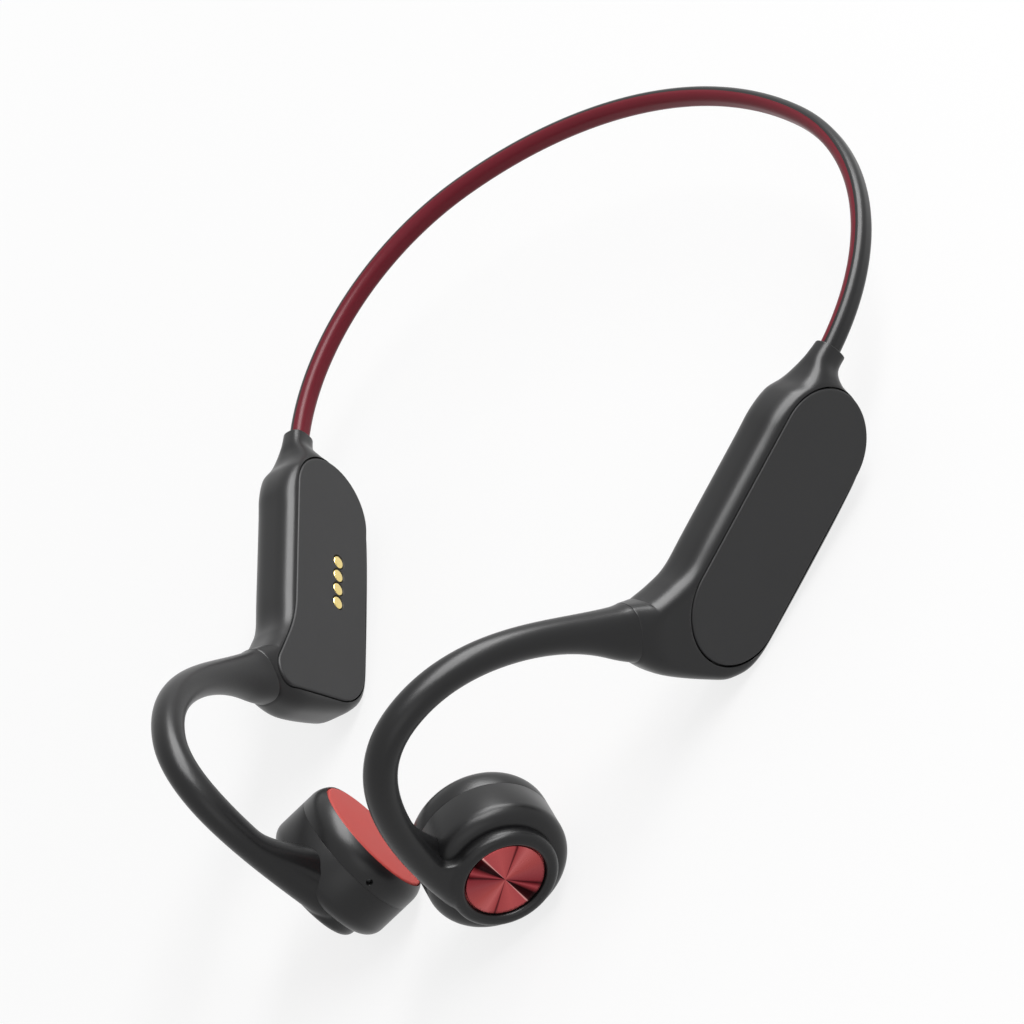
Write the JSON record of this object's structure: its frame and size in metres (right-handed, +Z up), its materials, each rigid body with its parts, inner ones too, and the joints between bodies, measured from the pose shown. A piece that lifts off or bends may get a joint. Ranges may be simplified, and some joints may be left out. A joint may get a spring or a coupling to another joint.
{
  "type": "bone conduction headphones",
  "caption": "Open-ear headset: a sprung neck band joins pods with ear hooks that carry round vibrating drivers with soft pads.",
  "frame": {"origin": "middle of the bounding box on the table, with the set standing on its drums and pod corners", "axes": "+Z up; +X towards the wearer's left; +Y towards the back of the neck; -Y towards the face"},
  "size_m": [0.11, 0.1417, 0.0446],
  "materials": {
    "charcoal_silicone": "satin moulded silicone",
    "red_silicone": "satin moulded silicone",
    "coral_silicone": "soft matte silicone",
    "satin_shell": "satin moulded shell",
    "matte_cover": "fine matte texture",
    "seal_rubber": "die-cut seal",
    "red_anodised": "diamond-cut, red anodised",
    "gold_plate": "gold plated",
    "spring_wire": "drawn wire",
    "steel_part": "pressed",
    "nickel_plate": "nickel plated",
    "copper_wire": "enamelled copper winding",
    "cable_sheath": "extruded sheath",
    "cell_foil": "pouch foil",
    "board_green": "solder mask",
    "switch_metal": "stamped can"
  },
  "bodies": {
    "band": {"band_core": "spring_wire", "band_outer_cover": "charcoal_silicone", "band_inner_strip": "red_silicone", "band_cable": "cable_sheath"},
    "left_arm": {"left_pod_shell": "satin_shell", "left_outer_cover": "matte_cover", "left_inner_cover": "matte_cover", "left_cover_seal": "seal_rubber", "left_wire_anchor": "steel_part", "left_ear_hook": "charcoal_silicone", "left_hook_lead": "cable_sheath", "left_driver_housing": "satin_shell", "left_driver_front": "satin_shell", "left_contact_pad": "coral_silicone", "left_spring_plate": "steel_part", "left_voice_coil": "copper_wire", "left_magnet": "nickel_plate", "left_yoke": "steel_part", "battery": "cell_foil", "battery_board": "board_green", "multifunction_switch": "switch_metal"},
    "right_arm": {"right_pod_shell": "satin_shell", "right_outer_cover": "matte_cover", "right_inner_cover": "matte_cover", "right_cover_seal": "seal_rubber", "right_wire_anchor": "steel_part", "right_ear_hook": "charcoal_silicone", "right_hook_lead": "cable_sheath", "right_driver_housing": "satin_shell", "right_driver_front": "satin_shell", "right_contact_pad": "coral_silicone", "right_spring_plate": "steel_part", "right_voice_coil": "copper_wire", "right_magnet": "nickel_plate", "right_yoke": "steel_part", "right_trim_disc": "red_anodised", "microphone": "switch_metal", "main_board": "board_green", "contact_block": "matte_cover", "charging_contacts": "gold_plate", "charging_magnets": "nickel_plate", "volume_switches": "switch_metal"},
    "multifunction_button": {"multifunction_button": "red_anodised"},
    "volume_up_button": {"volume_up_button": "satin_shell"},
    "volume_down_button": {"volume_down_button": "satin_shell"}
  },
  "joints": [
    {"name": "left_spread", "type": "hinge", "parent": "band", "child": "left_arm", "pos_m": [0.04399, 0.05207, 0.02043], "axis": [0, -0.0752, 0.9972], "range_deg": [0, 34], "stiffness_Nm_per_rad": 0.28, "deforming": ["band_core", "band_outer_cover", "band_inner_strip", "band_cable"]},
    {"name": "right_spread", "type": "hinge", "parent": "band", "child": "right_arm", "pos_m": [-0.04399, 0.05207, 0.02043], "axis": [0, 0.0752, -0.9972], "range_deg": [0, 34], "stiffness_Nm_per_rad": 0.28, "deforming": ["band_core", "band_outer_cover", "band_inner_strip", "band_cable"]},
    {"name": "multifunction_press", "type": "slide", "parent": "left_arm", "child": "multifunction_button", "axis": [-0.7071, 0.7051, 0.0532], "range_m": [0, 0.0004], "stiffness_N_per_m": 2500},
    {"name": "volume_up_press", "type": "slide", "parent": "right_arm", "child": "volume_up_button", "axis": [0.0091, -0.1015, 0.9948], "range_m": [0, 0.0004], "stiffness_N_per_m": 2500},
    {"name": "volume_down_press", "type": "slide", "parent": "right_arm", "child": "volume_down_button", "axis": [0.0091, -0.1015, 0.9948], "range_m": [0, 0.0004], "stiffness_N_per_m": 2500}
  ]
}
